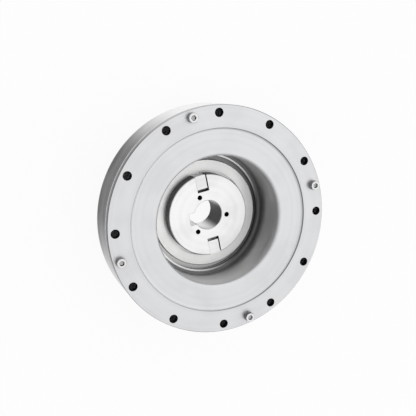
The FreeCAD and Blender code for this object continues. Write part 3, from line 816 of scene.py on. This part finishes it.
@dataclass
class WaveGenerator:
    """Oval plug with the two races that it bends."""

    lip_radius: float = 22.2
    lip_front: float = 9.0
    race_front: float = 8.0
    rim_front: float = 9.7
    # Painted light and shade of the races: a painted shadow between shield and rim, a rim painted bright and
    # dim by turns, a shield shaded on one side.
    dark: Colour = (0.02, 0.02, 0.021)
    rim_shade_colour: Colour = (0.12, 0.12, 0.12)
    rim_sheen: Colour = (0.98, 0.98, 0.98)
    shield_shade_colour: Colour = (0.20, 0.20, 0.20)
    shield_sheen: Colour = (0.52, 0.52, 0.515)

    def plug_finish(self) -> MetalFinish:
        """Make pale turned steel with an edge on the lip painted bright, part wear and part painted
        highlight.

        Returns:
            The finish of the plug.
        """
        lip = Edge(radius=self.lip_radius - 0.15, height=self.lip_front - 0.1, width=0.25)
        return MetalFinish(
            name="turned_plug_steel", colour=(0.96, 0.96, 0.95), shade=(0.91, 0.91, 0.90),
            roughness=(0.28, 0.38), pitch=0.22, ridge_depth=0.0010, grain_size=0.2, grain_depth=0.0003,
            edges=(lip,), metallic=0.65,
        )

    def race_finish(self) -> MetalFinish:
        """Make ground steel with a shield in painted shade, a rim with painted highlight and shade, and a
        painted shadow on the wall between them.

        Returns:
            The finish of the races.
        """
        shield = Wall(
            inner=0.0, outer=INSIDE_CUP, bottom=self.race_front - 0.1, top=self.race_front + 0.1, fade=0.1,
            colour=self.shield_shade_colour, sheen=self.shield_sheen, lobes=1.0, turn=-120.0,
        )
        between = Wall(
            inner=0.0, outer=INSIDE_CUP, bottom=self.race_front + 0.15, top=self.rim_front - 0.25, fade=0.1,
            colour=self.dark, sheen=self.dark,
        )
        rim = Wall(
            inner=0.0, outer=INSIDE_CUP, bottom=self.rim_front - 0.13, top=self.rim_front + PAST_EDGE,
            fade=0.06, colour=self.rim_shade_colour, sheen=self.rim_sheen, lobes=2.0, turn=48.0,
        )
        return MetalFinish(
            name="ground_race_steel", colour=(0.36, 0.36, 0.355), shade=(0.31, 0.31, 0.305),
            roughness=(0.24, 0.34), pitch=0.15, ridge_depth=0.0010, grain_size=0.2, grain_depth=0.0006,
            walls=(shield, between, rim),
        )

    def build(self) -> None:
        """Dress the plug and the races."""
        dress("wave_generator_plug", self.plug_finish().material())
        race = self.race_finish().material()
        for node in ("flex_bearing_outer_race", "flex_bearing_inner_race"):
            dress(node, race)


@dataclass
class InputCoupling:
    """Hub with its keyway, floating insert, washer and snap ring."""

    hub_radius: float = 16.8
    hub_front: float = 13.1
    bore_radius: float = 6.1
    # Painted shade on the hub's side and in its bore; the bore's sheen is painted reflection.
    side_shade_colour: Colour = (0.10, 0.10, 0.103)
    bore_shade_colour: Colour = (0.02, 0.02, 0.021)
    bore_sheen: Colour = (0.92, 0.92, 0.925)
    slot_inner: float = 9.3
    slot_depth: float = 3.0
    # Painted shade in the slots, so that the gaps read black.
    slot_shade_colour: Colour = (0.03, 0.03, 0.031)
    key_width: float = 5.0
    key_floor: float = 8.1
    key_chamfer: float = 0.12
    key_angle: float = 175.25
    merge_distance: float = 0.0005

    def key_cutter(self) -> bpy.types.Object:
        """Make the block that the keyway is cut with.

        Returns:
            A block along the bore, from the axis to the floor of the keyway, that flares at the hub's face.
        """
        bm = bmesh.new()
        bmesh.ops.create_cube(bm, size=1.0)
        bmesh.ops.scale(bm, vec=(self.key_floor, self.key_width, 2 * self.hub_front), verts=bm.verts[:])
        bmesh.ops.translate(bm, vec=(self.key_floor / 2, 0.0, -self.key_chamfer), verts=bm.verts[:])
        top = [f for f in bm.faces if f.normal.z > 0.5]
        flare = bmesh.ops.extrude_discrete_faces(bm, faces=top)["faces"][0].verts[:]
        spread = 2 * self.key_chamfer
        wider = (1 + spread / self.key_floor, 1 + 2 * spread / self.key_width, 1.0)
        bmesh.ops.scale(bm, vec=wider, verts=flare)
        bmesh.ops.translate(bm, vec=(0.0, 0.0, spread), verts=flare)
        turned = Matrix.Rotation(math.radians(self.key_angle), 3, "Z")
        bmesh.ops.rotate(bm, cent=(0, 0, 0), matrix=turned, verts=bm.verts[:])
        bmesh.ops.scale(bm, vec=(MM, MM, MM), verts=bm.verts[:])
        return link("key_cutter", closed_mesh(bm, "key_cutter"))

    def keyed_hub(self, material: bpy.types.Material) -> bpy.types.Object:
        """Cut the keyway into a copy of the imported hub, and set it in the hub's place.

        Args:
            material: Finish of the hub.

        Returns:
            The new piece.
        """
        bm = bmesh.new()
        bm.from_mesh(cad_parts["input_hub"].data)
        bmesh.ops.remove_doubles(bm, verts=bm.verts[:], dist=self.merge_distance * MM)
        piece = link("keyed_hub", closed_mesh(bm, "keyed_hub"))
        cutter = self.key_cutter()
        cut = piece.modifiers.new("keyway", "BOOLEAN")
        cut.operation = "DIFFERENCE"
        cut.solver = "EXACT"
        cut.object = cutter
        depsgraph = bpy.context.evaluated_depsgraph_get()
        keyed = bpy.data.meshes.new_from_object(piece.evaluated_get(depsgraph))
        piece.modifiers.remove(cut)
        piece.data = keyed
        bpy.data.objects.remove(cutter)
        keyed.materials.clear()
        keyed.materials.append(material)
        # The copied normals belong to the uncut hub.
        normals = keyed.attributes.get("custom_normal")
        if normals is not None:
            keyed.attributes.remove(normals)
        keyed.shade_smooth()
        keyed.set_sharp_from_angle(angle=SHARP_ANGLE)
        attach(piece, Body.HUB_SET.value)
        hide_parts("input_hub")
        LOG.info("keyed_hub has %d faces", len(keyed.polygons))
        return piece

    def hub_finish(self) -> MetalFinish:
        """Make bright aluminium with painted shade in the slots and on the side, and painted shade and
        reflection bands in the bore.

        Returns:
            The finish of the hub.
        """
        radius = self.hub_radius
        front = self.hub_front
        side = Wall(
            inner=radius - 0.1, outer=radius + PAST_EDGE, bottom=0.0, top=front - 0.3, fade=0.1,
            colour=self.side_shade_colour, sheen=self.side_shade_colour,
        )
        bore = Wall(
            inner=0.0, outer=self.bore_radius, bottom=0.0, top=front - 0.4, fade=0.1,
            colour=self.bore_shade_colour, sheen=self.bore_sheen, lobes=2.0, turn=64.0,
        )
        slots = Wall(
            inner=self.slot_inner, outer=radius - 0.3, bottom=front - self.slot_depth, top=front - 0.35,
            fade=0.2, colour=self.slot_shade_colour, sheen=self.slot_shade_colour,
        )
        return MetalFinish(
            name="bright_hub_aluminium", colour=(0.95, 0.95, 0.95), shade=(0.91, 0.91, 0.915),
            roughness=(0.42, 0.54), pitch=0.25, ridge_depth=0.0012, grain_size=0.15, grain_depth=0.0008,
            holes=(HUB_HOLES,), edges=(Edge(radius=radius - 0.15, height=front, width=0.2),),
            walls=(slots, side, bore),
        )

    def build(self) -> None:
        """Cut the hub's keyway, and dress the insert, the washer and the snap ring."""
        self.keyed_hub(self.hub_finish().material())
        ground = MetalFinish(
            name="ground_insert_steel", colour=(0.84, 0.84, 0.84), shade=(0.76, 0.76, 0.765),
            roughness=(0.30, 0.40), pitch=0.2, ridge_depth=0.0012, grain_size=0.12, grain_depth=0.0010,
        ).material()
        for node in ("coupling_insert", "rub_washer", "snap_ring"):
            dress(node, ground)


@dataclass
class CircularSpline:
    """Toothed output ring."""

    def build(self) -> None:
        """Dress the toothed ring."""
        iron = MetalFinish(
            name="machined_spline_iron", colour=(0.46, 0.47, 0.48), shade=(0.37, 0.38, 0.39),
            roughness=(0.34, 0.48), pitch=0.35, ridge_depth=0.0030, grain_size=0.3, grain_depth=0.0020,
            holes=(OUTPUT_HOLES,),
        ).material()
        dress("circular_spline", iron)


@dataclass
class SocketScrews:
    """Ring of screws with a knurled head, a hexagon socket and a shank ringed like a thread."""

    name: str
    node: str
    body: Body
    count: int
    turn: float
    circle: float
    seat: float
    points_up: bool
    diameter: float
    length: float
    head_diameter: float
    head_height: float
    socket: float
    pitch: float
    segments: int = 48
    knurl: float = 0.035
    bevel: float = 0.16
    socket_mouth: float = 0.53
    socket_wall: float = 0.50
    socket_flare: float = 0.06
    socket_floor: float = 0.62
    socket_point: float = 0.52
    point_share: float = 0.02
    thread_depth: float = 0.54
    # Painted light on the top and the socket floor, painted shade on the socket walls.
    top_light_colour: Colour = (0.85, 0.85, 0.855)
    wall_shade_colour: Colour = (0.10, 0.10, 0.10)
    floor_light_colour: Colour = (0.90, 0.90, 0.90)

    def grow(self, bm: bmesh.types.BMesh, loop: Loop, share: float, height: float) -> Loop:
        """Join a loop of vertices to a new loop of another size and height.

        Args:
            bm: Mesh in the making.
            loop: Vertices of the loop, in order.
            share: Size of the new loop as a share of the old one.
            height: Height of the new loop.

        Returns:
            Vertices of the new loop, in the same order.
        """
        fresh = [bm.verts.new((v.co.x * share, v.co.y * share, height)) for v in loop]
        for index, vert in enumerate(fresh):
            bm.faces.new((loop[index - 1], loop[index], vert, fresh[index - 1]))
        return fresh

    def flute(self, loop: Loop) -> None:
        """Pull every second vertex of a loop inwards for the knurl.

        Args:
            loop: Vertices of the loop, in order.
        """
        for vert in loop[1::2]:
            vert.co.xy *= 1.0 - self.knurl

    def hexagon(self, loop: Loop) -> None:
        """Push a round loop out to the hexagon whose flats touch it.

        Args:
            loop: Vertices of the loop.
        """
        for vert in loop:
            off = math.remainder(math.atan2(vert.co.y, vert.co.x), math.pi / 3)
            vert.co.xy /= math.cos(off)

    def head(self, bm: bmesh.types.BMesh) -> Loop:
        """Make the head with its socket, which stands on Z = 0.

        Args:
            bm: Empty mesh, in millimetres.

        Returns:
            Vertices of the loop round the open underside.
        """
        radius = self.head_diameter / 2
        height = self.head_height
        low = radius - self.bevel / 2
        shoulder = radius - self.bevel * 0.3
        flat = radius - self.bevel
        angles = [2 * math.pi * index / self.segments for index in range(self.segments)]
        under = [bm.verts.new((low * math.cos(a), low * math.sin(a), 0.0)) for a in angles]
        side = self.grow(bm, under, radius / low, self.bevel / 2)
        upper = self.grow(bm, side, 1.0, height - self.bevel * 1.6)
        loop = self.grow(bm, upper, shoulder / radius, height - self.bevel * 0.5)
        loop = self.grow(bm, loop, flat / shoulder, height)
        self.flute(side)
        self.flute(upper)
        mouth = self.grow(bm, loop, self.socket * self.socket_mouth / flat, height)
        self.hexagon(mouth)
        loop = self.grow(bm, mouth, self.socket_wall / self.socket_mouth, height - self.socket_flare)
        loop = self.grow(bm, loop, 1.0, height * self.socket_floor)
        loop = self.grow(bm, loop, self.point_share, height * self.socket_point)
        bm.faces.new(loop)
        return under

    def shank(self, bm: bmesh.types.BMesh, under: Loop) -> None:
        """Make the shank, which points down from Z = 0.

        Args:
            bm: Mesh that holds the head.
            under: Vertices of the loop round the open underside of the head.
        """
        radius = self.diameter / 2
        root = radius - self.thread_depth * self.pitch
        level = -self.pitch
        loop = self.grow(bm, under, radius / (self.head_diameter / 2 - self.bevel / 2), 0.0)
        loop = self.grow(bm, loop, 1.0, level)
        while level - self.pitch > -self.length:
            loop = self.grow(bm, loop, root / radius, level - self.pitch / 2)
            level -= self.pitch
            loop = self.grow(bm, loop, radius / root, level)
        tip = self.grow(bm, loop, root / radius, -self.length)
        bm.faces.new(tip)

    def round_mask(self, radius: float, colour: Colour) -> HoleRing:
        """Mask all of each screw that is nearer to its own axis than a radius, for its painted light and
        shade.
        """
        return HoleRing(self.count, self.turn, self.circle, radius, ABOVE_ALL, colour)

    def finish(self) -> MetalFinish:
        """Make knurled steel darkened as painted shade, with a top painted light and a socket with painted
        shade on its walls and painted light on its floor.

        Returns:
            The finish of the screws.
        """
        top = self.round_mask(self.head_diameter / 2 - self.bevel, self.top_light_colour)
        wall = self.round_mask(self.socket / 2 + 0.03, self.wall_shade_colour)
        floor = self.round_mask(self.socket / 2 - 0.12, self.floor_light_colour)
        # The dark base is painted shade on the knurled side and the shank.
        return MetalFinish(
            name=self.name + "_steel", colour=(0.18, 0.18, 0.183), shade=(0.12, 0.12, 0.123),
            roughness=(0.10, 0.22), pitch=0.12, ridge_depth=0.0006, grain_size=0.1, grain_depth=0.0006,
            holes=(top, wall, floor),
        )

    def build(self) -> bpy.types.Object:
        """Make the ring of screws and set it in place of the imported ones.

        Returns:
            The new piece.
        """
        bm = bmesh.new()
        self.shank(bm, self.head(bm))
        bmesh.ops.recalc_face_normals(bm, faces=bm.faces[:])
        if not self.points_up:
            bmesh.ops.rotate(bm, cent=(0, 0, 0), matrix=Matrix.Rotation(math.pi, 3, "X"), verts=bm.verts[:])
        bmesh.ops.translate(bm, vec=(self.circle, 0.0, self.seat), verts=bm.verts[:])
        first = bm.verts[:] + bm.edges[:] + bm.faces[:]
        copies = [first]
        for _ in range(1, self.count):
            copies.append(bmesh.ops.duplicate(bm, geom=first)["geom"])
        for index, copy in enumerate(copies):
            angle = math.radians(self.turn) + 2 * math.pi * index / self.count
            verts = [g for g in copy if isinstance(g, bmesh.types.BMVert)]
            bmesh.ops.rotate(bm, cent=(0, 0, 0), matrix=Matrix.Rotation(angle, 3, "Z"), verts=verts)
        bmesh.ops.scale(bm, vec=(MM, MM, MM), verts=bm.verts[:])
        mesh = closed_mesh(bm, self.name)
        mesh.shade_smooth()
        mesh.set_sharp_from_angle(angle=SHARP_ANGLE)
        mesh.materials.append(self.finish().material())
        piece = link(self.name, mesh)
        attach(piece, self.body.value)
        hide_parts(self.node)
        LOG.info("%s replaces %s", self.name, self.node)
        return piece


@dataclass
class Fasteners:
    """The two rings of small screws."""

    def build(self) -> None:
        """Make both rings of screws."""
        SocketScrews(
            name="flange_socket_screws", node="assembly_screws", body=Body.FIXED_FLANGE,
            count=4, turn=0.0, circle=42.0, seat=27.0, points_up=True, diameter=2.0, length=6.0,
            head_diameter=3.8, head_height=1.999, socket=1.8, pitch=0.4,
        ).build()
        SocketScrews(
            name="spline_socket_screws", node="spline_screws", body=Body.OUTPUT,
            count=4, turn=15.0, circle=30.0, seat=2.9, points_up=False, diameter=2.5, length=10.0,
            head_diameter=4.5, head_height=2.5, socket=2.0, pitch=0.45,
        ).build()


@dataclass
class Studio:
    """Pale floor, soft light and the camera. Floor and lamp are in metres, the camera is in millimetres."""

    floor_size: float = 6.0
    floor_white: float = 0.92
    floor_grey: float = 0.90
    horizon: float = 0.80
    zenith: float = 0.88
    sky_rise: Span = (-0.1, 0.85)
    sky_lean: Span = (0.16, 0.10)
    lamp_place: Point = (0.36, -0.30, 1.05)
    lamp_aim: Point = (0.0, 0.0, 0.02)
    lamp_size: float = 1.4
    lamp_energy: float = 1.0
    camera_place: Point = (-75.12, 79.90, 252.19)
    camera_right: Point = (0.89091, -0.26492, 0.36891)
    camera_up: Point = (0.35011, 0.91801, -0.18626)
    camera_back: Point = (-0.28931, 0.29510, 0.91061)
    sensor: float = 36.0
    lens: float = 55.95
    shift: Span = (-0.0015, 0.0014)
    clip: Span = (0.01, 50.0)

    def floor(self) -> None:
        """Make the white floor, which keeps the shadow of the reducer."""
        bm = bmesh.new()
        bmesh.ops.create_grid(bm, x_segments=1, y_segments=1, size=self.floor_size / 2)
        mesh = closed_mesh(bm, "floor")
        made, graph = empty_material("white_floor")
        grey = self.floor_grey
        matt = graph.add("ShaderNodeBsdfDiffuse", {"Color": (grey, grey, grey, 1.0)})
        glow = graph.add("ShaderNodeEmission", {"Color": (1.0, 1.0, 1.0, 1.0), "Strength": 1.0})
        rays = graph.add("ShaderNodeLightPath").outputs
        seen = graph.math("MAXIMUM", rays["Is Camera Ray"], rays["Is Glossy Ray"])
        seen = graph.math("MAXIMUM", seen, rays["Is Transmission Ray"])
        mix = graph.add("ShaderNodeMixShader", {"Fac": graph.math("MULTIPLY", seen, self.floor_white)})
        graph.feed(mix.inputs[1], matt.outputs["BSDF"])
        graph.feed(mix.inputs[2], glow.outputs["Emission"])
        graph.add("ShaderNodeOutputMaterial", {"Surface": mix.outputs["Shader"]})
        mesh.materials.append(made)
        link("floor", mesh)

    def sky(self) -> None:
        """Light the scene from a soft white sky, dimmer near the horizon and on the -X and -Y sides."""
        world = bpy.data.worlds.new("soft_sky")
        bpy.context.scene.world = world
        world.use_nodes = True
        world.node_tree.nodes.clear()
        graph = Graph(world.node_tree)
        aim = graph.add("ShaderNodeTexCoord").outputs["Generated"]
        parts = graph.add("ShaderNodeSeparateXYZ", {"Vector": aim}).outputs
        lift = graph.scaled(graph.smooth(parts["Z"], *self.sky_rise), self.horizon, 1.0)
        lean = graph.math("MULTIPLY", parts["X"], self.sky_lean[0])
        lean = graph.math("ADD", lean, graph.math("MULTIPLY", parts["Y"], self.sky_lean[1]))
        strength = graph.math("MULTIPLY", lift, graph.math("ADD", lean, self.zenith))
        back = graph.add("ShaderNodeBackground", {"Color": (1.0, 1.0, 1.0, 1.0), "Strength": strength})
        graph.add("ShaderNodeOutputWorld", {"Surface": back.outputs["Background"]})

    def lamp(self) -> None:
        """Hang one large soft lamp over the reducer."""
        data = bpy.data.lights.new("soft_box", "AREA")
        data.size = self.lamp_size
        data.energy = self.lamp_energy
        lamp = link("soft_box", data)
        lamp.location = self.lamp_place
        lamp.rotation_mode = "QUATERNION"
        lamp.rotation_quaternion = (Vector(self.lamp_aim) - Vector(self.lamp_place)).to_track_quat("-Z", "Y")

    def camera(self) -> None:
        """Set the camera at the photograph's viewing angle."""
        data = bpy.data.cameras.new("camera")
        data.sensor_width = self.sensor
        data.lens = self.lens
        data.shift_x, data.shift_y = self.shift
        data.clip_start, data.clip_end = self.clip
        camera = link("camera", data)
        turned = Matrix((self.camera_right, self.camera_up, self.camera_back)).transposed()
        camera.matrix_world = Matrix.Translation(Vector(self.camera_place) * MM) @ turned.to_4x4()
        bpy.context.scene.camera = camera

    def build(self) -> None:
        """Build the stage, the light and the camera."""
        self.floor()
        self.sky()
        self.lamp()
        self.camera()
        bpy.context.scene.view_settings.view_transform = "Standard"


def main() -> None:
    """Build the finishes, the pieces and the studio."""
    logging.basicConfig(level=logging.INFO, format="%(name)s: %(message)s")
    EffectLibrary().build()
    pieces = (Flexspline(), OutputBearing(), CircularSpline(), WaveGenerator(), InputCoupling(), Fasteners())
    for assembly in pieces:
        assembly.build()
    Studio().build()


if __name__ == "__main__":
    main()
